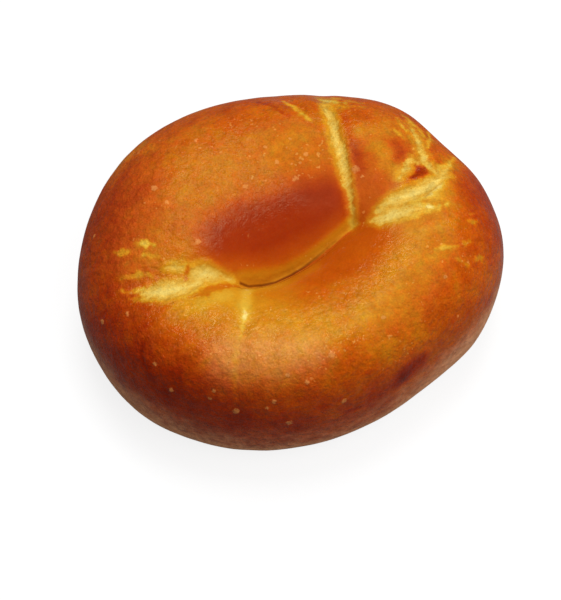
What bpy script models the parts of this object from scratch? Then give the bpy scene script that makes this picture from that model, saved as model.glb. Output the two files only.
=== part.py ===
"""A bagel: one hand-rolled ring of dough whose hole has swollen shut to a curved slit.

Two angles give every point of the crust. The ring angle runs once round the plan, from the end of the
long axis at +X towards +Y. The tube angle runs round the cut section of the ring: from the slit, over
the crest, down the outer wall and under the base to the middle of the underside. Seams are then pressed
into the crust along bowed lines in plan.
Metres, +Z up, with the origin on the table under the middle of the bagel and the long axis along X.
"""

import math

import bmesh
import bpy
from mathutils import Vector

# Overall size.
LENGTH = 0.1107
WIDTH = 0.0959
HEIGHT = 0.0386

# The outline in plan: an ellipse with slow waves, each (waves round the ring, size, ring angle of a crest).
OUTLINE_WAVES = (
    (1, 0.005, -124),
    (3, 0.013, -18),
    (4, 0.013, -35),
    (5, 0.015, -26),
    (6, 0.006, -15),
)
# Bulges and dents of the outline, each (ring angle, spread in degrees, share of the radius).
OUTLINE_BULGES = (
    (4, 10, 0.022),
    (34, 7, 0.007),
    (58, 16, -0.042),
    (76, 8, -0.009),
    (211, 12, 0.013),
    (-49, 12, 0.022),
)

# The slit where the sides of the hole meet.
SLIT_MIDDLE = Vector((0.0004, -0.0074, 0.0))
SLIT_HALF_LENGTH = 0.0152
SLIT_TURN = math.radians(11.5)
SLIT_BOW = -0.0022
SLIT_FLOOR_WEST = 0.021
SLIT_FLOOR_EAST = 0.029
SLIT_TIP = 1.08

# The cut section of the ring. A squareness of 2 is an ellipse, and more is nearer a box.
WAIST_HEIGHT = 0.015
CREST_SHARE = 0.55
OUTER_SQUARENESS = 2.3
INNER_SQUARENESS = 2.05
FOOT_SQUARENESS = 2.8
FOOT_FLATNESS = 1.12
NAVEL_HEIGHT = 0.0035
NAVEL_SQUARENESS = 3.0
# Places where the inner wall is squarer, each (ring angle, spread in degrees, added squareness).
INNER_SHOULDERS = (
    (175, 40, 1.6),
)
# Places where the crest is nearer the outer wall, each (ring angle, spread in degrees, added share).
CREST_SHIFTS = (
    (90, 50, 0.07),
    (180, 40, -0.07),
    (265, 55, 0.09),
    (0, 35, -0.1),
)
# Swells and sags of the crest, each (ring angle, spread in degrees, height).
CREST_SWELLS = (
    (120, 60, 0.001),
    (180, 30, -0.003),
    (300, 70, -0.001),
)

# Seams and creases pressed into the top, each
# (start and end in plan, bow to its left, half width, depth).
SEAMS = (
    ((0.0152, -0.0052), (0.0230, 0.0355), -0.0009, 0.0014, 0.0015),
    ((0.0160, -0.0058), (0.0450, 0.0025), -0.0027, 0.0022, 0.0013),
    ((0.0355, 0.0030), (0.0390, 0.0021), 0.0, 0.0017, 0.0024),
    ((0.0400, 0.0035), (0.0400, 0.0240), -0.0015, 0.0012, 0.0006),
    ((0.0173, 0.0248), (0.0118, 0.0385), 0.0, 0.0012, 0.0008),
    ((-0.0150, -0.0110), (-0.0440, -0.0036), -0.0012, 0.0030, 0.0008),
    ((-0.0150, -0.0145), (-0.0300, -0.0430), 0.0, 0.0013, 0.0005),
)

# Steps of the mesh, and the shares of the steps round the tube that go to its quarters.
RING_STEPS = 144
TUBE_STEPS = 34
# How strongly the steps round the ring bunch towards +X, where the seams are.
RING_BUNCH = 0.5
INNER_SHARE = 0.36
OUTER_SHARE = 0.68
FOOT_SHARE = 0.92
WELD = 1e-5


def bell(degrees, middle, spread):
    """1 at the middle angle, falling smoothly to 0 over the spread."""
    away = (degrees - middle + 180) % 360 - 180
    return math.exp(-((away / spread) ** 2))


def bells(ring, places):
    """The sum of a list of (ring angle, spread, size) bells at a ring angle."""
    return sum(size * bell(math.degrees(ring), middle, spread) for middle, spread, size in places)


def outline(ring):
    """The widest point of the outer wall at a ring angle, in plan."""
    swell = 1.0 + bells(ring, OUTLINE_BULGES)
    for waves, size, crest in OUTLINE_WAVES:
        swell += size * math.cos(waves * (ring - math.radians(crest)))
    return Vector((LENGTH / 2 * math.cos(ring), WIDTH / 2 * math.sin(ring), 0.0)) * swell


def slit(ring):
    """Where the section at a ring angle starts on the slit, and how far east that is, from -1 to 1."""
    east = max(-1.0, min(1.0, SLIT_TIP * math.cos(ring)))
    along = SLIT_HALF_LENGTH * east
    bow = SLIT_BOW * (1 - east * east)
    turned = Vector((
        along * math.cos(SLIT_TURN) - bow * math.sin(SLIT_TURN),
        along * math.sin(SLIT_TURN) + bow * math.cos(SLIT_TURN),
        0.0,
    ))
    return SLIT_MIDDLE + turned, east


def crest_share(ring):
    """How far across the ring its crest is, from 0 at the slit to 1 at the outer wall."""
    return CREST_SHARE + bells(ring, CREST_SHIFTS)


def quarter(share, squareness):
    """A quarter of a superellipse: (across, up), from (1, 0) at share 0 to (0, 1) at share 1."""
    turn = share * math.pi / 2
    return math.cos(turn) ** (2 / squareness), math.sin(turn) ** (2 / squareness)


def section(ring, east, share):
    """A point of the cut section as (distance from the slit over the width, height)."""
    crest = HEIGHT + bells(ring, CREST_SWELLS)
    crest_at = crest_share(ring)
    if share <= INNER_SHARE:
        floor = SLIT_FLOOR_WEST + (SLIT_FLOOR_EAST - SLIT_FLOOR_WEST) * (east + 1) / 2
        across, up = quarter(share / INNER_SHARE, INNER_SQUARENESS + bells(ring, INNER_SHOULDERS))
        return crest_at * (1 - across), floor + (crest - floor) * up
    if share <= OUTER_SHARE:
        across, up = quarter((OUTER_SHARE - share) / (OUTER_SHARE - INNER_SHARE), OUTER_SQUARENESS)
        return crest_at + (1 - crest_at) * across, WAIST_HEIGHT + (crest - WAIST_HEIGHT) * up
    if share <= FOOT_SHARE:
        across, down = quarter((share - OUTER_SHARE) / (FOOT_SHARE - OUTER_SHARE), FOOT_SQUARENESS)
        return crest_at + (1 - crest_at) * across, max(0.0, WAIST_HEIGHT * (1 - FOOT_FLATNESS * down))
    across, down = quarter((1 - share) / (1 - FOOT_SHARE), NAVEL_SQUARENESS)
    return crest_at * (1 - across), max(0.0, NAVEL_HEIGHT * (1 - FOOT_FLATNESS * down))


def seam_depth(point):
    """How deep the seams are pressed in at a point in plan."""
    deepest = 0.0
    for start, end, bow, half_width, depth in SEAMS:
        start = Vector(start)
        line = Vector(end) - start
        beside = Vector((-line.y, line.x)).normalized()
        away = point.xy - start
        along = away.dot(line) / line.length_squared
        nearest = max(0.0, min(1.0, along))
        past_end = abs(along - nearest) * line.length
        across = away.dot(beside) - 4 * bow * nearest * (1 - nearest)
        deepest = max(deepest, depth * math.exp(-(across ** 2 + past_end ** 2) / half_width ** 2))
    return deepest


def crust_point(ring, share):
    start, east = slit(ring)
    across, height = section(ring, east, share)
    point = start.lerp(outline(ring), across)
    point.z = height
    if share < OUTER_SHARE:
        core = start.lerp(outline(ring), min(across, crest_share(ring)))
        core.z = WAIST_HEIGHT
        above_waist = min(1.0, (height - WAIST_HEIGHT) / WAIST_HEIGHT)
        point += (core - point).normalized() * seam_depth(point) * above_waist
    return point


def bunched(turn):
    """The ring angle of an even step round the ring. The two sides of the long axis stay alike."""
    return math.tau * turn - RING_BUNCH * math.sin(math.tau * turn)


def fit_to_size(sheet):
    """The finished ring is centred over the origin and brought to its overall size."""
    low = Vector([min(vert.co[axis] for vert in sheet.verts) for axis in range(3)])
    high = Vector([max(vert.co[axis] for vert in sheet.verts) for axis in range(3)])
    middle = (low + high) / 2
    size = high - low
    for vert in sheet.verts:
        vert.co.x = (vert.co.x - middle.x) * LENGTH / size.x
        vert.co.y = (vert.co.y - middle.y) * WIDTH / size.y
        vert.co.z = (vert.co.z - low.z) * HEIGHT / size.z


def baked_ring():
    """A flat grid is rolled round the ring, and its edges are welded along the slit and the underside."""
    mesh = bpy.data.meshes.new("bagel")
    sheet = bmesh.new()
    bmesh.ops.create_grid(sheet, x_segments=RING_STEPS, y_segments=TUBE_STEPS, size=0.5)
    for vert in sheet.verts:
        vert.co = crust_point(bunched(vert.co.x + 0.5), vert.co.y + 0.5)
    bmesh.ops.remove_doubles(sheet, verts=sheet.verts, dist=WELD)
    bmesh.ops.recalc_face_normals(sheet, faces=sheet.faces)
    fit_to_size(sheet)
    sheet.to_mesh(mesh)
    sheet.free()
    mesh.shade_smooth()
    return bpy.data.objects.new("bagel", mesh)


def crust_material():
    material = bpy.data.materials.new("crust")
    material.use_nodes = True
    surface = material.node_tree.nodes["Principled BSDF"]
    surface.inputs["Base Color"].default_value = (0.47, 0.15, 0.025, 1.0)
    surface.inputs["Roughness"].default_value = 0.42
    surface.inputs["Metallic"].default_value = 0.0
    return material


def main():
    for old in list(bpy.data.objects):
        bpy.data.objects.remove(old)
    parts = bpy.data.collections.new("bagel")
    bpy.context.scene.collection.children.link(parts)
    bagel = baked_ring()
    bagel.data.materials.append(crust_material())
    parts.objects.link(bagel)


main()
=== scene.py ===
"""The looks of a bagel: one browned, glossy crust with pale splits, on a pale table under a soft light."""
import math

import bmesh
import bpy
import numpy as np
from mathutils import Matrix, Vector, kdtree, noise


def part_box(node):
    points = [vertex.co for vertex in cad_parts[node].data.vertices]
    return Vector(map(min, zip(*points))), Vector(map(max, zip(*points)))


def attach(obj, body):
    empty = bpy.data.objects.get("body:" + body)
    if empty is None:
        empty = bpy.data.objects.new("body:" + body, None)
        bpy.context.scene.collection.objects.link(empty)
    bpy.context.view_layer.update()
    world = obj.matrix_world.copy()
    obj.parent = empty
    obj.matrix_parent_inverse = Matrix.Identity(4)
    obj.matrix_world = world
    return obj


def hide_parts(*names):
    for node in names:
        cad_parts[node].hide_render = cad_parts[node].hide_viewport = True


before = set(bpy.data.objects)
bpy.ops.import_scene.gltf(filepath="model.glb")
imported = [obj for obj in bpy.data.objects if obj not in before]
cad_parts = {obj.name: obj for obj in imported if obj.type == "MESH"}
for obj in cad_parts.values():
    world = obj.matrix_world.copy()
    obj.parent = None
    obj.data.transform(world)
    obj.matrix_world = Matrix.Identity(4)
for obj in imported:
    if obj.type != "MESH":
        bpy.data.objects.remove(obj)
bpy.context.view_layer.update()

LOW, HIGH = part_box("bagel")
MIDDLE = (LOW + HIGH) / 2
HALF_LENGTH = (HIGH.x - LOW.x) / 2
HALF_WIDTH = (HIGH.y - LOW.y) / 2
MILLIMETRE = 0.001

# Places on the crust are in millimetres: x (east) and y (north) in plan from the middle of the bagel, and
# height above the table. A stroke is a line of (x, y, half width). Two numbers for an edge, for heights or
# for shares are where a soft change starts and where it is complete. Shares of the way out run from 0 in the
# middle to 1 at the outline. Swells are layers of (amount, size, shift in the pattern). Bells are (bearing,
# spread, size), with the bearing in degrees from the east end, by way of the north.

# The mesh of the crust, in metres. Triangles of the solid are joined up to a fold and a skew in degrees.
WELD = 0.00001
JOINED_FOLD = 40
JOINED_SKEW = 60
SMOOTH_LEVELS = 2
VOXEL = 0.00066
POLISH_STEPS = 3
POLISH_SHARE = 0.5
# How the crease of the slit is rounded: within what reach, how much at each step, and in how many steps.
ROUNDED_REACH = 1.5
ROUNDED_SHARE = 0.5
ROUNDED_STEPS = 10
# The mesh is finer this near to a detail, and for streaks only above a height. For a blister it is a share
# of the blister's radius.
FINE_BY_SPLIT = 1.3
FINE_BY_STREAK = 0.7
FINE_BY_SLIT = 2.0
FINE_BY_BLISTER = 0.6
STREAKS_ABOVE = 22

# Pale splits where the crust tore.
SPLITS = (
    # Down the west side of the wedge, from the back edge to the slit.
    ((21.4, 30.2, 0.6), (21.2, 27.0, 1.1), (21.2, 24.8, 1.3)),
    ((21.0, 23.4, 1.2), (20.4, 20.2, 1.4), (19.9, 16.0, 1.6), (19.3, 12.1, 1.6), (18.6, 8.1, 1.4),
     (17.9, 4.3, 1.1), (17.3, 0.7, 0.8), (16.8, -2.1, 0.5), (16.1, -3.9, 0.2)),
    # Along the south side of the wedge: an upper and a lower strand.
    ((22.4, -4.8, 1.0), (25.4, -3.9, 1.6), (28.6, -3.7, 1.9), (31.6, -3.6, 2.3), (34.4, -3.5, 2.5),
     (37.5, -2.6, 2.0), (40.5, -1.7, 1.3), (43.6, -1.0, 0.3)),
    ((20.6, -6.2, 0.9), (22.6, -7.0, 2.3), (25.3, -7.2, 2.9), (28.2, -7.6, 2.3), (30.8, -8.7, 1.3),
     (33.6, -9.7, 0.3)),
    # Round the east end of the wedge, in two branches.
    ((37.5, -2.6, 1.6), (40.8, -1.4, 1.4), (43.3, 1.0, 0.8), (45.0, 2.4, 0.2)),
    ((40.6, 0.6, 0.9), (39.0, 4.4, 1.2), (39.3, 8.0, 1.3), (39.9, 11.2, 1.0), (40.2, 15.1, 0.6),
     (40.5, 18.6, 0.2)),
    # The turned-up ear of the wedge.
    ((35.6, 5.5, 0.8), (34.0, 4.4, 1.1), (32.3, 2.8, 1.0), (30.6, 1.2, 0.5)),
    ((35.0, 5.6, 0.4), (36.7, 4.9, 0.3), (37.8, 4.3, 0.1)),
    # The torn patch on the west side.
    ((-41.2, -5.9, 0.3), (-39.6, -6.6, 1.2), (-37.8, -7.3, 2.2), (-35.4, -8.0, 3.0), (-32.9, -8.3, 2.9),
     (-30.4, -8.6, 2.4), (-28.2, -8.6, 1.8), (-26.4, -8.1, 1.4)),
    ((-27.2, -6.6, 1.2), (-25.6, -6.1, 2.1), (-23.9, -6.6, 2.3), (-22.2, -7.4, 1.8), (-20.2, -8.2, 1.0),
     (-18.2, -9.0, 0.2)),
    ((-32.6, -2.0, 0.4), (-30.6, -2.6, 0.7), (-28.9, -3.6, 0.5)),
)
# Splits lie above a height and have uneven edges. Away from them, a place counts as this far inside.
SPLITS_ABOVE = 24
OFF_A_SPLIT = -9.0
SPLIT_SWELLS = ((0.5, 2.2, 0.0), (0.3, 0.9, 3.0))

# Fine streaks, most of them golden and a few brown: (change of browning, stroke).
STREAKS = (
    (-0.14, ((-18.9, -20.8, 0.1), (-19.4, -22.2, 0.6), (-20.0, -23.6, 0.1))),
    (-0.14, ((-18.7, -20.4, 0.3), (-20.6, -24.6, 0.6), (-21.8, -26.6, 0.2))),
    (-0.08, ((-22.6, -27.4, 0.2), (-25.4, -32.7, 0.5), (-28.4, -39.7, 0.3))),
    (-0.25, ((21.8, 33.9, 0.4), (24.7, 30.7, 0.5), (26.7, 28.8, 0.3))),
    (-0.22, ((24.6, 33.8, 0.3), (27.4, 30.3, 0.4), (31.5, 27.2, 0.2))),
    (-0.15, ((26.0, 27.1, 0.3), (31.4, 25.7, 0.3))),
    (-0.28, ((37.9, 19.8, 0.3), (37.8, 16.9, 0.5), (37.7, 14.7, 0.3))),
    (-0.25, ((35.2, 15.4, 0.3), (35.9, 13.8, 0.4), (36.5, 12.7, 0.3))),
    (-0.25, ((44.9, 15.6, 0.2), (43.6, 11.7, 0.5), (41.8, 8.9, 0.3))),
    (-0.25, ((40.5, 21.6, 0.3), (42.0, 17.0, 0.4), (42.6, 13.0, 0.3))),
    (-0.20, ((41.8, 2.2, 0.5), (45.0, 3.0, 0.5), (48.3, 5.8, 0.2))),
    (-0.25, ((34.0, -8.9, 0.3), (36.0, -10.0, 0.5), (38.8, -9.8, 0.3))),
    (0.08, ((30.0, -5.9, 0.2), (31.6, -6.8, 0.5), (34.6, -7.0, 0.3))),
    (-0.25, ((31.2, -21.0, 0.2), (34.1, -21.4, 0.6), (37.0, -21.4, 0.2))),
    (-0.22, ((38.9, -21.2, 0.3), (40.1, -21.1, 0.3))),
    (-0.20, ((35.3, -25.0, 0.3), (37.2, -26.5, 0.4), (38.2, -26.9, 0.2))),
    (-0.22, ((39.5, -25.9, 0.2), (42.0, -24.7, 0.4))),
    (-0.22, ((42.7, -15.6, 0.3), (44.5, -15.9, 0.5))),
    (-0.18, ((43.6, -13.6, 0.3), (45.3, -13.6, 0.3))),
    (-0.36, ((12.0, 36.0, 0.3), (13.4, 32.0, 0.6), (14.7, 28.6, 0.6), (15.8, 25.8, 0.2))),
    (0.16, ((5.7, 37.2, 0.2), (8.0, 34.4, 0.4), (11.0, 27.8, 0.2))),
    (-0.25, ((-43.8, -0.2, 0.2), (-39.2, -1.3, 0.6), (-36.6, -2.7, 0.3))),
    (-0.20, ((-45.3, -1.9, 0.2), (-43.6, -5.1, 0.4))),
    (-0.30, ((-44.4, -3.8, 0.4), (-42.2, -4.6, 0.8), (-40.0, -5.4, 0.8))),
    (-0.22, ((-43.5, -6.4, 0.3), (-40.3, -8.6, 0.6), (-36.8, -9.8, 0.4))),
    (-0.22, ((-36.5, 2.8, 0.2), (-34.9, 1.9, 0.5), (-33.5, 1.6, 0.3))),
    (-0.40, ((-36.9, 6.5, 0.4), (-35.2, 5.5, 1.0), (-33.6, 4.9, 0.3))),
    (-0.34, ((-42.6, 6.8, 0.4), (-41.2, 6.1, 0.9), (-40.0, 5.3, 0.4))),
    (0.25, ((-27.6, -4.2, 0.4), (-28.8, -6.0, 0.4))),
    (0.19, ((-30.5, -12.2, 0.3), (-26.0, -12.0, 1.2), (-20.4, -11.0, 1.0), (-17.6, -11.0, 0.4))),
    (0.32, ((36.3, 3.9, 0.3), (37.3, 2.6, 1.5), (36.2, 1.2, 1.2), (33.6, 0.4, 0.4))),
    (0.25, ((20.4, 25.4, 0.2), (21.6, 25.2, 0.2))),
)
STREAK_EDGE = (-0.7, 0.5)
STREAK_HEIGHTS = (18, 22)
STREAK_SWELLS = ((0.9, 1.2, 11.0),)

# How brown the crust is: 0 is pale, 0.3 golden, 0.6 orange brown, 0.85 mahogany and 1 dark brown. The base
# is the underside.
TOP_BROWNING = 0.53
BASE_BROWNING = 0.66
BASE_HEIGHTS = (3, 1)
# Soft areas of more or less browning on the upper crust: (change, softness, stroke).
UPPER_HEIGHTS = (13, 18)
BROWNED = (
    # The south lobe: its crest, its side beside the slit and its outer shoulder.
    (-0.14, 5.0, ((-26, -15, 2), (-20, -23, 3), (-8, -31, 2), (4, -33, 1), (16, -29, 2), (28, -20, 3),
                  (36, -11, 3))),
    (-0.07, 4.0, ((-17, -15, 2), (-8, -17, 2))),
    (-0.12, 2.0, ((-14, -12.5, 1), (-6, -13, 1), (2, -12, 0.6))),
    (-0.16, 1.3, ((-15.8, -14.0, 0.2), (-17.6, -18.3, 0.4), (-19.6, -22.8, 0.5))),
    (-0.07, 5.0, ((-28, -34, 2), (-18, -38, 2), (-6, -41, 1))),
    (0.03, 4.0, ((-8, -41, 1), (4, -40, 2), (12, -37, 1))),
    (0.11, 5.0, ((0, -15, 2), (12, -14, 3), (17, -11, 2))),
    (-0.07, 3.5, ((7, -41.5, 1), (14, -40, 1.5), (19, -39, 1))),
    (-0.08, 1.6, ((9.5, -40.6, 0.6), (12.0, -40.4, 0.8), (14.2, -41.4, 0.6))),
    # The north lobe: its back, its slope towards the slit, its crest and its west shoulder.
    (0.06, 4.0, ((-20, 37, 1), (-4, 39, 1), (10, 38, 1))),
    (0.04, 5.0, ((-6, 30, 2), (10, 31, 2))),
    (-0.10, 3.0, ((-36, 35, 1), (-30, 38, 1))),
    (0.32, 5.0, ((-17, 0, 1.5), (-8, 0.6, 3), (5, 2.0, 2.7), (12, 2.4, 1.2))),
    (-0.05, 6.0, ((-16, 18, 4), (6, 20, 4))),
    (0.06, 3.5, ((-9, 8.5, 1), (3, 8.5, 1.5), (11, 7.0, 1))),
    (0.06, 3.5, ((-25, 6, 1), (-18, 5, 1))),
    (0.08, 6.0, ((-40, 20, 3), (-30, 26, 3))),
    # On both sides of the west patch.
    (-0.06, 4.0, ((-40, 1, 1), (-30, 2, 2), (-24, 3, 1))),
    (-0.12, 2.5, ((-33.6, -15.5, 1), (-26, -14, 1.5), (-19.5, -12.6, 1))),
    # The wedge.
    (-0.20, 1.3, ((22.3, 35.0, 0.4), (23.6, 31.5, 0.8), (24.3, 28.0, 0.5))),
    (0.10, 4.0, ((23, -1, 1.5), (24, 10, 2))),
    (0.12, 1.5, ((22.4, 8, 0.6), (22.8, 16, 0.6), (23.8, 22.5, 0.6))),
    (-0.17, 1.6, ((28.3, 11.6, 0.8), (30.4, 9.6, 0.8))),
    (-0.14, 1.4, ((28.4, 6.4, 0.6), (29.8, 4.6, 0.6))),
    (-0.09, 2.0, ((27, 17.5, 1), (30, 15.6, 1))),
    (0.14, 1.8, ((33.1, 10.5, 0.8), (33.4, 6.6, 0.6))),
    (-0.07, 3.0, ((34, 20, 1), (38, 17, 1))),
    # The east end.
    (-0.14, 2.5, ((39, -3, 1), (45, 0, 1), (47, 4, 1))),
    (-0.04, 2.5, ((40, 8, 1), (43, 12, 1))),
    (-0.12, 2.5, ((33, -7, 1.5), (39, -6.5, 1))),
    (0.08, 4.0, ((50, -4, 2), (48, -16, 2))),
)
# Patches of more or less browning on the walls: (change, softness, line of (x, y, height)).
PATCHES = (
    (0.32, 3.0, ((13.4, -44.2, 23.0), (15.8, -43.2, 24.2), (18.0, -42.6, 24.4))),
    (0.12, 4.0, ((6.0, -46.2, 21.5), (12.0, -44.8, 23.0))),
    (-0.08, 1.6, ((-49.1, -24.3, 18.4), (-46.5, -28.2, 18.4), (-43.8, -31.4, 17.0))),
    (0.08, 3.0, ((-45.0, -20.0, 31.0), (-44.6, -26.0, 28.0), (-41.5, -31.0, 26.8))),
    (0.06, 4.0, ((-51.6, -6.2, 27.5), (-50.0, -16.0, 27.0))),
    (0.05, 6.0, ((-30.0, -41.0, 23.0), (-22.0, -44.5, 22.0), (-12.0, -46.0, 25.0))),
    (0.13, 9.0, ((-28.0, 38.0, 17.0), (-10.0, 44.0, 17.0), (14.0, 43.0, 17.0))),
)
PATCH_SWELLS = ((0.8, 2.5, 6.0),)

# The rim: the outer crust, from a share of the way out to a width beyond it or a limit, and the walls. It
# leaves out the middle of the underside.
RIM_START = 0.50
RIM_START_BELLS = ((245, 40, 0.32),)
RIM_WIDTH = 0.38
RIM_LIMIT = 1.02
WALL_HEIGHTS = (24, 16)
OUTER_SHARES = (0.35, 0.55)
RIM_BROWNING = 0.11
RIM_BELLS = (
    (95, 34, -0.07), (125, 12, -0.07), (205, 55, 0.18), (232, 24, 0.11), (262, 20, 0.06), (350, 20, 0.04),
)

# The foot of the crust, where it turns under, is tan and dull: partly a paler under-crust and partly a
# painted reflection of the pale table along the lower edge. It starts at a steepness, which is how much the
# crust faces
# up: 1 for level and 0 for upright.
FOOT_TAN = 0.92
FOOT_TAN_BELLS = ((312, 26, 0.30), (265, 25, -0.12))
FOOT_START = 0.10
FOOT_START_BELLS = ((314, 24, 0.14), (345, 16, 0.04), (198, 30, 0.14))
FOOT_EDGE = (-0.08, 0.46)
FOOT_SHARES = (0.5, 0.7)
FOOT_SWELLS = ((0.06, 3.0, 12.0),)
# A painted highlight: a faint pale tan sheen on the shoulder of the south lobe.
PAINTED_SHEEN_TAN = 0.24
PAINTED_SHEEN_SOFTNESS = 4.5
PAINTED_SHEEN = ((-27, -31, 2), (-17, -35, 2), (-8, -37, 1))

# Where the crust is dull instead of glossy: (how dull, softness, stroke).
DULL = (
    (0.50, 5.0, ((8, 20, 4), (13, 10, 5))),
    (0.16, 6.0, ((-24, 8, 6), (-10, 16, 8), (4, 18, 8))),
    (0.40, 4.0, ((30, -10, 2), (36, -8, 2))),
    (0.40, 5.0, ((-32, 25, 3), (-34, 15, 4), (-39, 6, 4))),
    (0.45, 3.0, ((12, -34.5, 1.5), (20, -31, 2), (28, -25, 2), (33, -20, 2))),
    (0.50, 4.0, ((23, 0, 2), (26, 8, 3), (31, 10, 4))),
)
DULL_SLIT = 0.6
DULL_BY_SLIT = (2.2, 0.8)
DULL_FOOT = 0.4
DULL_RIM_BELLS = ((20, 30, 0.35), (130, 50, 0.40))

# How mottled the crust is: little by the slit, more further out, and less again on the slope over the slit.
MOTTLE = 0.35
FAR_MOTTLE = 0.75
RIM_MOTTLE = 0.15
FAR_FROM_SLIT = (5, 24)
CALM = ((-17, 0, 1), (-6, 1, 2.5), (6, 2, 3), (13, 3, 1.5))
CALM_SHARE = 0.4
CALM_SOFTNESS = 5.0

# Blisters: (x, y, height, radius).
BLISTERS = (
    (-28.5, -40.5, 25.9, 1.0), (-16.9, -46.0, 21.7, 1.0), (-3.1, -46.8, 25.2, 0.9), (-3.5, -39.2, 35.8, 1.1),
    (-28.5, 19.5, 38.0, 1.0), (-23.2, 1.1, 37.1, 1.0), (-10.6, -0.1, 34.5, 0.7), (-6.2, 0.4, 33.7, 0.6),
    (2.8, -2.7, 31.5, 0.5), (5.9, 10.4, 36.8, 0.9), (7.1, 10.8, 36.9, 0.5), (-1.3, 12.1, 37.2, 0.6),
    (-6.7, 12.1, 37.4, 0.8), (1.8, 21.3, 38.2, 0.6), (3.2, 16.2, 37.8, 0.8), (8.7, 21.5, 38.1, 0.6),
    (7.0, 19.2, 38.0, 0.4), (10.9, 16.0, 37.7, 0.8), (8.6, 14.1, 37.5, 0.5), (6.6, 14.5, 37.5, 0.5),
    (-1.8, 8.7, 36.4, 0.5), (6.9, 5.9, 35.7, 0.5), (2.4, 4.0, 34.9, 0.7), (-2.1, 4.3, 35.1, 0.6),
    (6.9, 0.3, 33.6, 0.4), (-7.6, -1.9, 32.8, 0.5), (-13.9, 29.5, 38.2, 0.8), (-13.8, 26.6, 38.5, 0.5),
    (-26.8, 14.2, 38.2, 0.7), (-31.9, 16.3, 37.5, 0.5), (-45.8, 15.8, 30.5, 0.8), (21.3, 7.7, 37.0, 1.2),
    (22.0, 5.3, 36.8, 0.6), (21.7, -0.8, 36.1, 0.6), (-19.7, -43.0, 29.3, 0.8), (-41.5, -30.6, 27.7, 0.8),
    (-43.2, -24.5, 31.5, 0.7), (-32.3, -36.0, 30.9, 0.7), (-33.5, -36.5, 28.9, 0.6),
    (-21.5, -43.1, 27.6, 0.6), (-51.1, -7.0, 27.8, 0.8), (11.7, -34.3, 36.3, 0.8), (31.0, -36.5, 28.8, 0.5),
    (30.4, -28.6, 35.5, 0.7), (-45.2, -9.8, 32.8, 0.7), (-11.1, -42.5, 32.9, 0.7), (-15.0, -40.0, 34.6, 0.6),
)
BLISTER_SWELLS = ((0.25, 1.3, 4.0),)

# Shallow dark wrinkles on the walls and the shoulder, as lines of (x, y, height).
WRINKLES = (
    ((-2.6, -47.4, 20.5), (1.0, -47.4, 20.0), (4.5, -47.1, 18.5)),
    ((-3.0, -47.8, 17.5), (2.5, -47.6, 15.5)),
    ((-44.4, -18.6, 33.0), (-45.4, -21.0, 31.0), (-45.8, -23.0, 29.7)),
)
WRINKLE_EDGE = (0.9, 0.2)
WRINKLE_SWELLS = ((0.3, 1.5, 8.0),)
WRINKLE_DARKENING = 0.10

# The crease of the slit, as a line of (x, y, height).
SLIT = (
    (-15.4, -10.0, 29.0), (-11.5, -10.0, 27.3), (-7.0, -10.0, 26.1), (-2.9, -9.7, 25.8), (2.9, -8.6, 26.8),
    (9.0, -6.8, 28.2), (15.2, -4.3, 29.3),
)
# The golden crust on the north side of the slit, which faces south: its browning, and its reach, which
# narrows eastwards.
SLIT_GOLD = 0.40
GOLD_REACH = 5.4
GOLD_NARROWING = 0.05
GOLD_NARROWS_FROM = -10
GOLD_NARROWS_FOR = 16
GOLD_CORE = 0.45
GOLD_FACING = (0.3, -0.2)
# A painted shadow: the thin dark line of shade along the lip of the slit, which fades out eastwards.
CREASE_SHADOW_LINE = (
    (-16.1, -9.7, 30.0), (-14.3, -10.3, 28.3), (-10.6, -10.3, 26.6), (-7.2, -10.6, 26.5),
    (-3.0, -10.0, 26.5), (-0.1, -9.6, 27.1), (2.8, -8.8, 27.6), (5.8, -7.9, 28.4), (9.0, -6.7, 29.1),
    (12.1, -5.5, 29.8),
)
CREASE_SHADOW_EDGE = (0.55, 0.1)
CREASE_SHADOW_FADE = (16, -4)
CREASE_SHADOW_DARKENING = 0.12

# The relief, in millimetres along the outward direction.
BROAD_SWELLS = ((0.14, 9.0, 5.0), (0.05, 4.0, 7.0))
TORN_EDGE = (-0.3, 0.7)
TORN_DEPTH = 0.14
TORN_SWELLS = ((0.12, 0.9, 9.0),)
LIP_EDGE = (-1.4, -0.4)
LIP_RISE = 0.06
BLISTER_EDGE = (0.0, 0.8)
BLISTER_RISE = 0.13
WRINKLE_DEPTH = 0.12
RELIEF_HEIGHTS = (0.0, 1.5)
RELIEF_BY_SLIT = (0.5, 2.5)


def coordinates(mesh, name):
    """The places ("co") or the normals ("normal") of a mesh's points, one in each row."""
    rows = np.empty(len(mesh.vertices) * 3)
    mesh.vertices.foreach_get(name, rows)
    return rows.reshape(-1, 3)


def measured(mesh):
    """The mesh's points in millimetres: x and y from the middle of the bagel, and height above the table."""
    return (coordinates(mesh, "co") - np.array((MIDDLE.x, MIDDLE.y, LOW.z))) / MILLIMETRE


def smoothstep(low, high, value):
    """0 at low, 1 at high, and smooth between them. low can be the larger one."""
    share = np.clip((value - low) / (high - low), 0.0, 1.0)
    return share * share * (3 - 2 * share)


def swells(points, layers):
    """Soft random swells: the sum of layers of (amount, size, shift)."""
    total = np.zeros(len(points))
    for amount, size, shift in layers:
        scale = 1 / (size * MILLIMETRE)
        total += amount * np.array([
            noise.noise((x * scale + shift, y * scale - shift, z * scale + 2 * shift)) for x, y, z in points
        ])
    return total


def bells(bearing, places):
    """The sum of a list of (bearing, spread, size) bells."""
    total = np.zeros(len(bearing))
    for middle, spread, size in places:
        away = (bearing - middle + 180) % 360 - 180
        total += size * np.exp(-((away / spread) ** 2))
    return total


def inside_stroke(plan, stroke):
    """How far inside a stroke each point is. It is below 0 outside."""
    inside = np.full(len(plan), -99.0)
    for (x0, y0, width0), (x1, y1, width1) in zip(stroke, stroke[1:]):
        start = np.array((x0, y0))
        run = np.array((x1 - x0, y1 - y0))
        along = np.clip((plan - start) @ run / (run @ run), 0.0, 1.0)
        away = np.linalg.norm(plan - start - along[:, None] * run, axis=1)
        inside = np.maximum(inside, width0 + (width1 - width0) * along - away)
    return inside


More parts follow.
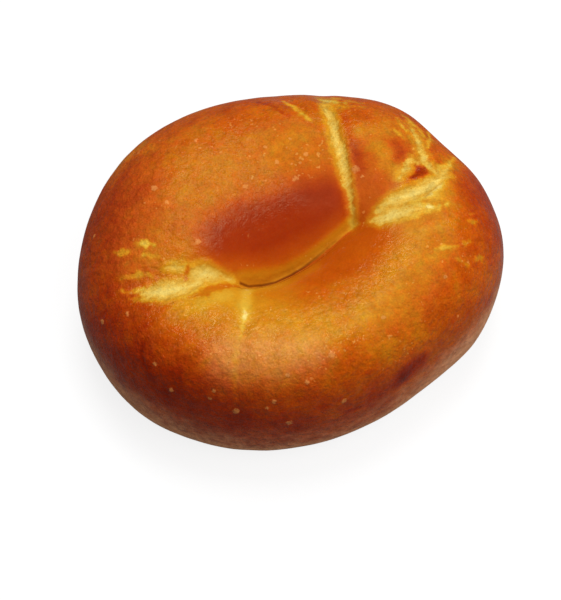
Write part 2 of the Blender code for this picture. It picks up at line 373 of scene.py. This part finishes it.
def glow(plan, softness, stroke):
    """1 in a stroke, falling softly to 0 outside it."""
    outside = np.maximum(0.0, -inside_stroke(plan, stroke))
    return np.exp(-((outside / softness) ** 2))


def distance_to_line(places, line):
    """How far each place in three dimensions is from a line through points."""
    nearest = np.full(len(places), 99.0)
    for start, end in zip(line, line[1:]):
        start = np.array(start)
        run = np.array(end) - start
        along = np.clip((places - start) @ run / (run @ run), 0.0, 1.0)
        nearest = np.minimum(nearest, np.linalg.norm(places - start - along[:, None] * run, axis=1))
    return nearest


def nearest_blister(places, blisters):
    """How near each place is to a blister: 1 at its middle, 0 at its foot, and -1 from as far out again."""
    finder = kdtree.KDTree(len(places))
    for number, place in enumerate(places):
        finder.insert(place, number)
    finder.balance()
    nearness = np.full(len(places), -1.0)
    for x, y, z, size in blisters:
        for place, number, distance in finder.find_range((x, y, z), 2 * size):
            nearness[number] = max(nearness[number], 1 - distance / size)
    return nearness


def inside_split(places):
    """How far inside a split each place is. It is below 0 outside."""
    inside = np.full(len(places), OFF_A_SPLIT)
    for stroke in SPLITS:
        inside = np.maximum(inside, inside_stroke(places[:, :2], stroke))
    return np.where(places[:, 2] > SPLITS_ABOVE, inside, OFF_A_SPLIT)


def smooth_shell(node):
    """A copy of the CAD solid as a fine, even mesh without its facets."""
    mesh = node.data.copy()
    shell = bmesh.new()
    shell.from_mesh(mesh)
    bmesh.ops.remove_doubles(shell, verts=shell.verts, dist=WELD)
    bmesh.ops.join_triangles(
        shell, faces=shell.faces,
        angle_face_threshold=math.radians(JOINED_FOLD), angle_shape_threshold=math.radians(JOINED_SKEW),
    )
    shell.to_mesh(mesh)
    shell.free()
    shell_object = bpy.data.objects.new("crust_skin", mesh)
    bpy.context.scene.collection.objects.link(shell_object)
    rounded = shell_object.modifiers.new("rounded", "SUBSURF")
    rounded.levels = SMOOTH_LEVELS
    even = shell_object.modifiers.new("even", "REMESH")
    even.mode = "VOXEL"
    even.voxel_size = VOXEL
    polish = shell_object.modifiers.new("polish", "SMOOTH")
    polish.iterations = POLISH_STEPS
    polish.factor = POLISH_SHARE
    graph = bpy.context.evaluated_depsgraph_get()
    finished = bpy.data.meshes.new_from_object(shell_object.evaluated_get(graph))
    shell_object.modifiers.clear()
    shell_object.data = finished
    finished.name = "crust_skin"
    finished.materials.clear()
    return shell_object


def soften(mesh, weights, steps):
    """Move each point part of the way to the middle of its neighbours, several times."""
    places = coordinates(mesh, "co")
    pairs = np.empty(len(mesh.edges) * 2, dtype=np.int64)
    mesh.edges.foreach_get("vertices", pairs)
    first, second = pairs.reshape(-1, 2).T
    count = np.bincount(pairs, minlength=len(places))[:, None]
    for _ in range(steps):
        total = np.zeros_like(places)
        np.add.at(total, first, places[second])
        np.add.at(total, second, places[first])
        places += (total / count - places) * weights[:, None]
    mesh.vertices.foreach_set("co", places.ravel())
    mesh.update()


def detailed(places):
    """Which places lie so near to a detail that they need the finer mesh."""
    wanted = inside_split(places) > -FINE_BY_SPLIT
    high_enough = places[:, 2] > STREAKS_ABOVE
    for change, stroke in STREAKS:
        wanted |= (inside_stroke(places[:, :2], stroke) > -FINE_BY_STREAK) & high_enough
    wanted |= distance_to_line(places, SLIT) < FINE_BY_SLIT
    wanted |= nearest_blister(places, BLISTERS) > -FINE_BY_BLISTER
    return wanted


def refine(mesh, wanted):
    """Split the faces whose corners are all wanted into four."""
    fine = bmesh.new()
    fine.from_mesh(mesh)
    edges = [edge for edge in fine.edges if wanted[edge.verts[0].index] and wanted[edge.verts[1].index]]
    bmesh.ops.subdivide_edges(fine, edges=edges, cuts=1, use_grid_fill=True, smooth=1.0)
    fine.to_mesh(mesh)
    fine.free()


crust = smooth_shell(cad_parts["bagel"])
from_slit = distance_to_line(measured(crust.data), SLIT)
soften(crust.data, ROUNDED_SHARE * np.exp(-((from_slit / ROUNDED_REACH) ** 2)), ROUNDED_STEPS)
refine(crust.data, detailed(measured(crust.data)))

points = coordinates(crust.data, "co")
normals = coordinates(crust.data, "normal")
places = measured(crust.data)
plan = places[:, :2]
height = places[:, 2]
across = plan[:, 0] * MILLIMETRE / HALF_LENGTH
along = plan[:, 1] * MILLIMETRE / HALF_WIDTH
radius = np.hypot(across, along)
bearing = np.degrees(np.arctan2(along, across)) % 360
upper = smoothstep(*UPPER_HEIGHTS, height)
to_slit = distance_to_line(places, SLIT)


def rim_share():
    """1 on the outer crust and the walls, and 0 in the middle of the top and of the underside."""
    start = RIM_START + bells(bearing, RIM_START_BELLS)
    outer = smoothstep(start, np.minimum(start + RIM_WIDTH, RIM_LIMIT), radius)
    return np.maximum(outer, smoothstep(*WALL_HEIGHTS, height)) * smoothstep(*OUTER_SHARES, radius)


def slit_gold_share():
    """1 on the golden crust beside the slit, and 0 away from it."""
    narrowing = GOLD_NARROWING * np.clip(plan[:, 0] - GOLD_NARROWS_FROM, 0, GOLD_NARROWS_FOR)
    reach = GOLD_REACH - narrowing
    return smoothstep(reach, GOLD_CORE * reach, to_slit) * smoothstep(*GOLD_FACING, normals[:, 1])


def crease_shadow_share():
    """1 on the painted shadow line along the lip of the slit, and 0 away from it."""
    return smoothstep(*CREASE_SHADOW_FADE, plan[:, 0]) * smoothstep(*CREASE_SHADOW_EDGE, distance_to_line(places, CREASE_SHADOW_LINE))


def wrinkle_share():
    """1 in a wrinkle, and 0 away from them all."""
    share = np.zeros(len(points))
    waver = swells(points, WRINKLE_SWELLS)
    for line in WRINKLES:
        share = np.maximum(share, smoothstep(*WRINKLE_EDGE, distance_to_line(places, line) + waver))
    return share


def browning_by_area():
    """How brown the crust is: over the top and the rim, in soft areas, and in patches on the walls."""
    browned = TOP_BROWNING + rim * (RIM_BROWNING + bells(bearing, RIM_BELLS))
    for change, softness, stroke in BROWNED:
        browned += change * glow(plan, softness, stroke) * upper
    ragged_edge = swells(points, PATCH_SWELLS)
    for change, softness, line in PATCHES:
        away = distance_to_line(places, line) + ragged_edge
        browned += change * np.exp(-((away / softness) ** 2))
    return browned


def browning_by_streaks():
    """How much the streaks change the browning."""
    changed = np.zeros(len(points))
    unevenness = swells(points, STREAK_SWELLS)
    for change, stroke in STREAKS:
        changed += change * smoothstep(*STREAK_EDGE, inside_stroke(plan, stroke) + unevenness)
    return changed * smoothstep(*STREAK_HEIGHTS, height)


def foot_tan_and_sheen_share():
    """How tan the crust is: most at its foot, partly as a painted reflection, and a little in the painted
    highlight on the south lobe.
    """
    start = FOOT_START + bells(bearing, FOOT_START_BELLS)
    turned_under = smoothstep(*FOOT_EDGE, start - normals[:, 2] + swells(points, FOOT_SWELLS))
    tan = (FOOT_TAN + bells(bearing, FOOT_TAN_BELLS)) * turned_under * smoothstep(*FOOT_SHARES, radius)
    # The painted highlight on the shoulder of the south lobe.
    return np.maximum(tan, PAINTED_SHEEN_TAN * glow(plan, PAINTED_SHEEN_SOFTNESS, PAINTED_SHEEN) * upper)


def dull_share():
    """How dull the crust is, from 0 for glossy."""
    share = np.zeros(len(points))
    for amount, softness, stroke in DULL:
        share = np.maximum(share, amount * glow(plan, softness, stroke))
    share = np.maximum(share, DULL_SLIT * smoothstep(*DULL_BY_SLIT, to_slit))
    share = np.maximum(share, DULL_FOOT * foot)
    return np.maximum(share, bells(bearing, DULL_RIM_BELLS) * rim)


def relief():
    """How far each point of the crust moves out, in millimetres."""
    torn = smoothstep(*TORN_EDGE, split)
    rise = swells(points, BROAD_SWELLS)
    rise += LIP_RISE * smoothstep(*LIP_EDGE, split) * (1 - torn)
    rise += (swells(points, TORN_SWELLS) - TORN_DEPTH) * torn
    rise += BLISTER_RISE * smoothstep(*BLISTER_EDGE, blister) * (1 - torn)
    rise -= WRINKLE_DEPTH * wrinkle
    return rise * smoothstep(*RELIEF_HEIGHTS, height) * smoothstep(*RELIEF_BY_SLIT, to_slit)


split = inside_split(places) + swells(points, SPLIT_SWELLS)
blister = nearest_blister(places, BLISTERS) + swells(points, BLISTER_SWELLS)
wrinkle = wrinkle_share()
# The painted shadow along the lip of the slit.
crease_shadow = crease_shadow_share()
rim = rim_share()
bake = browning_by_area() + browning_by_streaks()
bake += (SLIT_GOLD - bake) * slit_gold_share()
# The painted shadow makes the crust browner along the lip of the slit.
bake += CREASE_SHADOW_DARKENING * crease_shadow
bake += (BASE_BROWNING - bake) * smoothstep(*BASE_HEIGHTS, height)
# Darker along each wrinkle.
bake += WRINKLE_DARKENING * wrinkle
# The tan foot, partly a painted reflection, and the painted highlight on the south lobe.
foot = foot_tan_and_sheen_share()
dull = dull_share()
mottle = MOTTLE + FAR_MOTTLE * smoothstep(*FAR_FROM_SLIT, to_slit) + RIM_MOTTLE * rim
mottle *= 1 - CALM_SHARE * glow(plan, CALM_SOFTNESS, CALM)

moved = points + normals * relief()[:, None] * MILLIMETRE
crust.data.vertices.foreach_set("co", moved.ravel())
fields = (
    ("split", split), ("bake", bake), ("blister", blister), ("dull", dull), ("mottle", mottle),
    ("foot", foot), ("crease_shadow", crease_shadow),
)
for name, values in fields:
    kept = crust.data.attributes.new(name, "FLOAT", "POINT")
    kept.data.foreach_set("value", values.astype(np.float32))
crust.data.shade_smooth()


def tint(red, green, blue):
    """A colour as a screen shows it, from 0 to 255, in a shader's linear values."""
    return [((level / 255 + 0.055) / 1.055) ** 2.4 if level > 10 else level / 255 / 12.92
            for level in (red, green, blue)] + [1.0]


# The colours of the crust by its browning, and of the crumb in the splits by its tone.
BROWNEST = 1.3
BROWNING = (
    (0.00, tint(232, 205, 115)),
    (0.15, tint(215, 170, 54)),
    (0.30, tint(205, 140, 26)),
    (0.45, tint(195, 112, 14)),
    (0.60, tint(188, 84, 8)),
    (0.72, tint(172, 64, 6)),
    (0.86, tint(151, 43, 6)),
    (1.00, tint(124, 28, 6)),
    (1.15, tint(96, 20, 7)),
    (1.30, tint(70, 14, 6)),
)
CRUMB = (
    (0.25, tint(200, 134, 30)),
    (0.45, tint(208, 158, 52)),
    (0.65, tint(217, 178, 78)),
    (0.85, tint(224, 193, 98)),
)
# Painted highlight: a pale, whitish colour for the blister tops and some flecks, partly their paler skin.
SPOT_SHEEN_COLOUR = tint(222, 148, 78)
# The tan of the foot, partly a painted reflection, and of the painted highlight on the south lobe.
FOOT_TAN_AND_SHEEN_COLOUR = tint(228, 160, 114)

# Grain is in layers of (amount, size in millimetres), or of (amount, size, detail).
MOTTLING_GRAIN = ((0.24, 6.0), (0.20, 2.4), (0.13, 1.1), (0.13, 0.45))
SHADE_GRAIN = ((0.46, 0.5), (0.46, 1.2), (0.44, 3.0))
ROUGH_GRAIN = ((0.35, 1.3), (0.35, 3.2))
# The amounts of the bump are in metres.
BUMP_GRAIN = ((0.00013, 0.45), (0.00027, 1.2), (0.00048, 2.6))
# Fibres run out from the middle of the bagel: they are grain on places squeezed outwards and upwards, which
# start a little out from the middle, in metres.
FIBRE_SQUEEZE = 0.22
FIBRE_START = 0.02
FIBRE_RISE = (0, 0, 0.5)
# The frayed edge of a split, and the paler crust round it.
FRAY = (1.1, 0.9, 3.0)
FINE_FRAY = (0.6, 0.5)
FRAYED_EDGE = (-0.3, 0.5)
HALO_EDGE = (-2.0, 0.0)
HALO_PALENESS = 0.22
# The crumb: how its tone rises inwards, its fibres and grain, and its darker pores.
CRUMB_TONE = 0.38
CRUMB_INWARD = 0.18
CRUMB_FIBRES = (0.45, 0.9, 2.0)
CRUMB_GRAIN = (0.35, 0.45)
PORE_SIZE = 0.7
PORE_EDGE = (0.16, 0.26)
PORE_DARKNESS = 0.35
# Small pale flecks, in groups, where the crust isn't dark, blended partly towards the painted highlight
# colour.
FLECK_SIZE = 1.1
FLECK_EDGE = (0.15, 0.22)
FLECK_GROUP_SIZE = 6.0
FLECK_GROUP_EDGE = (-0.04, 0.10)
FLECK_BROWNINGS = (0.74, 0.62)
FLECK_PALENESS = 0.12
FLECK_SHEEN_SHARE = 0.4
# The paler tops of the blisters, partly a painted highlight, the grain of the tan foot, and how much darker
# the painted shade makes the crease.
SPOT_GRAIN = (1.2, 0.6, 1.0)
SPOT_EDGE = (0.0, 0.5)
SPOT_SHEEN_SHARE = 0.5
FOOT_GRAIN = (1.2, 1.6, 3.0)
CREASE_SHADE = 0.62
# The gloss: a thin warm shine, duller where the crust tore.
SPECULAR = 0.155
GLOSS_TINT = (1.0, 0.89, 0.50, 1.0)
ROUGH = 0.17
LEAST_ROUGH = 0.10
TORN_DRYNESS = 0.35

material = bpy.data.materials.new("baked_crust")
material.use_nodes = True
tree = material.node_tree
surface = tree.nodes["Principled BSDF"]
where = tree.nodes.new("ShaderNodeTexCoord").outputs["Object"]


def plug(socket, value):
    """Link a socket to another one, or set it to a number or a colour."""
    if isinstance(value, bpy.types.NodeSocket):
        tree.links.new(value, socket)
    else:
        socket.default_value = value


def calc(operation, *values):
    """One step of arithmetic on sockets and numbers."""
    made = tree.nodes.new("ShaderNodeMath")
    made.operation = operation
    for socket, value in zip(made.inputs, values):
        plug(socket, value)
    return made.outputs[0]


def vector(operation, *values):
    """One step of arithmetic on places or colours, as a node."""
    made = tree.nodes.new("ShaderNodeVectorMath")
    made.operation = operation
    for socket, value in zip(made.inputs, values):
        plug(socket, value)
    return made


def scaled(places, share):
    """Places or a colour times a number."""
    made = vector("SCALE", places)
    plug(made.inputs["Scale"], share)
    return made.outputs["Vector"]


def field(name):
    """One of the values kept with the points of the crust."""
    made = tree.nodes.new("ShaderNodeAttribute")
    made.attribute_name = name
    return made.outputs["Fac"]


def fibrous():
    """Places squeezed along the lines that run out from the middle, so that grain there is fibrous."""
    level = vector("MULTIPLY", where, (1, 1, 0)).outputs["Vector"]
    outward = vector("NORMALIZE", level).outputs["Vector"]
    reach = calc("MULTIPLY_ADD", vector("LENGTH", level).outputs["Value"], FIBRE_SQUEEZE, FIBRE_START)
    return vector("MULTIPLY_ADD", where, FIBRE_RISE, scaled(outward, reach)).outputs["Vector"]


def grain(size, detail=2.0, places=where):
    """Random swells of about the given size in millimetres, from about -0.3 to 0.3."""
    made = tree.nodes.new("ShaderNodeTexNoise")
    plug(made.inputs["Vector"], places)
    made.inputs["Scale"].default_value = 1 / (size * MILLIMETRE)
    made.inputs["Detail"].default_value = detail
    return calc("SUBTRACT", made.outputs["Fac"], 0.5)


def grained(value, amount, size, detail=2.0, places=where):
    """A value with an amount of grain added."""
    return calc("MULTIPLY_ADD", grain(size, detail, places), amount, value)


def grains(layers):
    """The sum of layers of grain."""
    total = 0.0
    for layer in layers:
        total = grained(total, *layer)
    return total


def between(value, low, high, start=0.0, end=1.0):
    """start at low, end at high, and smooth between them. low can be the larger one."""
    made = tree.nodes.new("ShaderNodeMapRange")
    made.interpolation_type = "SMOOTHSTEP"
    plug(made.inputs["Value"], value)
    for name, number in (("From Min", low), ("From Max", high), ("To Min", start), ("To Max", end)):
        made.inputs[name].default_value = number
    return made.outputs["Result"]


def ramp(value, stops):
    """The colour at a value between stops of (position, colour)."""
    made = tree.nodes.new("ShaderNodeValToRGB")
    plug(made.inputs["Fac"], value)
    band = made.color_ramp
    while len(band.elements) < len(stops):
        band.elements.new(0.5)
    for element, (position, colour) in zip(band.elements, stops):
        element.position = position
    for element, (position, colour) in zip(band.elements, stops):
        element.color = colour
    return made.outputs["Color"]


def blend(share, first, second):
    """The first colour where the share is 0, the second where it is 1."""
    made = tree.nodes.new("ShaderNodeMix")
    made.data_type = "RGBA"
    plug(made.inputs["Factor"], share)
    plug(made.inputs["A"], first)
    plug(made.inputs["B"], second)
    return made.outputs["Result"]


def fleck_share(browning):
    """1 on a small pale fleck, and 0 away from them."""
    small = between(grain(FLECK_SIZE, 1.0), *FLECK_EDGE)
    grouped = between(grain(FLECK_GROUP_SIZE, 1.0), *FLECK_GROUP_EDGE)
    return calc("MULTIPLY", calc("MULTIPLY", small, grouped), between(browning, *FLECK_BROWNINGS))


def skin_colour():
    """The browned skin with its flecks, its blisters with a painted highlight, and its tan foot with a
    painted reflection and highlight.
    """
    browning = calc("MULTIPLY_ADD", grains(MOTTLING_GRAIN), field("mottle"), field("bake"))
    browning = calc("SUBTRACT", browning, between(frayed, *HALO_EDGE, 0.0, HALO_PALENESS))
    fleck = fleck_share(browning)
    browning = calc("MULTIPLY_ADD", fleck, -FLECK_PALENESS, browning)
    stops = [(position / BROWNEST, colour) for position, colour in BROWNING]
    skin = ramp(calc("DIVIDE", browning, BROWNEST), stops)
    # A painted highlight on the blister tops and flecks, partly their paler skin.
    sheen_spot = between(grained(field("blister"), *SPOT_GRAIN), *SPOT_EDGE, 0.0, SPOT_SHEEN_SHARE)
    skin = blend(calc("MAXIMUM", sheen_spot, calc("MULTIPLY", fleck, FLECK_SHEEN_SHARE)), skin, SPOT_SHEEN_COLOUR)
    # The tan foot and the painted highlight on the south lobe, partly a painted reflection.
    tan = calc("MULTIPLY", grained(1.0, *FOOT_GRAIN), field("foot"))
    return blend(between(tan, 0.0, 1.0), skin, FOOT_TAN_AND_SHEEN_COLOUR)


def crumb_colour():
    """The pale, fibrous crumb in the splits."""
    tone = calc("MULTIPLY_ADD", frayed, CRUMB_INWARD, CRUMB_TONE)
    tone = grained(tone, *CRUMB_FIBRES, fibres)
    tone = grained(tone, *CRUMB_GRAIN)
    pores = between(grain(PORE_SIZE, 1.0), *PORE_EDGE, 0.0, PORE_DARKNESS)
    return ramp(calc("SUBTRACT", tone, pores), CRUMB)


def shading():
    """A fine unevenness of tone, and the painted shadow along the lip of the slit."""
    uneven = calc("MULTIPLY_ADD", grains(SHADE_GRAIN), field("mottle"), 1.0)
    return calc("MULTIPLY", uneven, calc("MULTIPLY_ADD", field("crease_shadow"), -CREASE_SHADE, 1.0))


def roughness():
    """Patchy gloss, duller where the crust is dull or torn."""
    dryness = calc("MAXIMUM", field("dull"), calc("MULTIPLY", torn_here, TORN_DRYNESS))
    patchy = calc("MULTIPLY_ADD", grains(ROUGH_GRAIN), field("mottle"), ROUGH)
    return calc("MAXIMUM", calc("ADD", patchy, dryness), LEAST_ROUGH)


def bumpy():
    """Fine lumps that catch the light."""
    bump = tree.nodes.new("ShaderNodeBump")
    bump.inputs["Distance"].default_value = 1.0
    plug(bump.inputs["Height"], calc("MULTIPLY", grains(BUMP_GRAIN), field("mottle")))
    return bump.outputs["Normal"]


fibres = fibrous()
frayed = grained(grained(field("split"), *FRAY, fibres), *FINE_FRAY)
torn_here = between(frayed, *FRAYED_EDGE)
plug(surface.inputs["Base Color"], scaled(blend(torn_here, skin_colour(), crumb_colour()), shading()))
plug(surface.inputs["Roughness"], roughness())
plug(surface.inputs["Normal"], bumpy())
surface.inputs["Specular IOR Level"].default_value = SPECULAR
surface.inputs["Specular Tint"].default_value = GLOSS_TINT
crust.data.materials.append(material)
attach(crust, "root")
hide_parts("bagel")

# The table, in metres. It glows only where it is seen directly, so the glow doesn't light the bagel.
TABLE_REACH = 6
TABLE_WHITE = 0.21
TABLE_ROUGH = 0.9
TABLE_GLOW = 0.82


def set_strengths(material_or_world, seen, unseen, target):
    """Give a strength socket one value where it is seen directly and another where it isn't."""
    shader = material_or_world.node_tree
    path = shader.nodes.new("ShaderNodeLightPath")
    made = shader.nodes.new("ShaderNodeMath")
    made.operation = "MULTIPLY_ADD"
    made.inputs[1].default_value = seen - unseen
    made.inputs[2].default_value = unseen
    shader.links.new(path.outputs["Is Camera Ray"], made.inputs[0])
    shader.links.new(made.outputs[0], target)


table = bpy.data.meshes.new("table")
corners = [(x * TABLE_REACH, y * TABLE_REACH, 0) for x, y in ((-1, -1), (1, -1), (1, 1), (-1, 1))]
table.from_pydata(corners, [], [(0, 1, 2, 3)])
floor = bpy.data.objects.new("table", table)
floor.location.z = LOW.z
bpy.context.scene.collection.objects.link(floor)
paper = bpy.data.materials.new("white_paper")
paper.use_nodes = True
paper.cycles.emission_sampling = "NONE"
sheet = paper.node_tree.nodes["Principled BSDF"]
sheet.inputs["Base Color"].default_value = (TABLE_WHITE, TABLE_WHITE, TABLE_WHITE, 1)
sheet.inputs["Roughness"].default_value = TABLE_ROUGH
sheet.inputs["Specular IOR Level"].default_value = 0.0
sheet.inputs["Emission Color"].default_value = (1, 1, 1, 1)
set_strengths(paper, TABLE_GLOW, 0.0, sheet.inputs["Emission Strength"])
table.materials.append(paper)

# The light. The softbox is behind the bagel and to its right. The fill is in front and to the right, and
# it doesn't show in the gloss. The room is dim, and looks as white as the table. Sides and rises are in
# degrees, sizes and distances in metres, and powers in watts.
LAMP_DISTANCE = 0.9
SOFTBOX_SIDE = 158
SOFTBOX_RISE = 69
SOFTBOX_SIZE = 0.42
SOFTBOX_POWER = 4.9
FILL_SIDE = 45
FILL_RISE = 50
FILL_SIZE = 0.9
FILL_POWER = 4.3
ROOM_LIGHT = 0.33
BACKDROP = TABLE_GLOW + TABLE_WHITE * ROOM_LIGHT


def direction(side, rise):
    """Towards a place at a side and a rise in degrees. Side 0 is the south, and 90 the east."""
    side, rise = math.radians(side), math.radians(rise)
    return Vector((math.sin(side) * math.cos(rise), -math.cos(side) * math.cos(rise), math.sin(rise)))


def lamp(name, side, rise, size, power):
    """A square soft light that faces the bagel."""
    light = bpy.data.lights.new(name, "AREA")
    light.size = size
    light.energy = power
    holder = bpy.data.objects.new(name, light)
    holder.location = direction(side, rise) * LAMP_DISTANCE
    holder.rotation_euler = direction(side, rise).to_track_quat("Z", "Y").to_euler()
    bpy.context.scene.collection.objects.link(holder)
    return holder


lamp("softbox", SOFTBOX_SIDE, SOFTBOX_RISE, SOFTBOX_SIZE, SOFTBOX_POWER)
fill = lamp("fill", FILL_SIDE, FILL_RISE, FILL_SIZE, FILL_POWER)
fill.visible_glossy = False

room = bpy.data.worlds.new("room")
bpy.context.scene.world = room
room.use_nodes = True
room.cycles_visibility.glossy = False
sky = room.node_tree.nodes["Background"]
sky.inputs["Color"].default_value = (1, 1, 1, 1)
set_strengths(room, BACKDROP, ROOM_LIGHT, sky.inputs["Strength"])

# The camera looks down from a little west of south. It aims a little nearer to itself than the middle of
# the bagel, a little to the left, and above the table. The lens is in millimetres.
CAMERA_SIDE = -20.5
CAMERA_RISE = 60
CAMERA_DISTANCE = 0.4288
CAMERA_LENS = 100
AIM_LEFT = 0.00181
AIM_NEARER = 0.01028
AIM_HEIGHT = 0.014

aim = Vector((0, 0, AIM_HEIGHT))
aim += direction(CAMERA_SIDE, 0) * AIM_NEARER
aim -= direction(CAMERA_SIDE + 90, 0) * AIM_LEFT
back = direction(CAMERA_SIDE, CAMERA_RISE)
lens = bpy.data.cameras.new("camera")
lens.lens = CAMERA_LENS
camera = bpy.data.objects.new("camera", lens)
camera.location = aim + back * CAMERA_DISTANCE
camera.rotation_mode = "QUATERNION"
camera.rotation_quaternion = (-back).to_track_quat("-Z", "Y")
bpy.context.scene.collection.objects.link(camera)
bpy.context.scene.camera = camera
bpy.context.scene.view_settings.view_transform = "Standard"
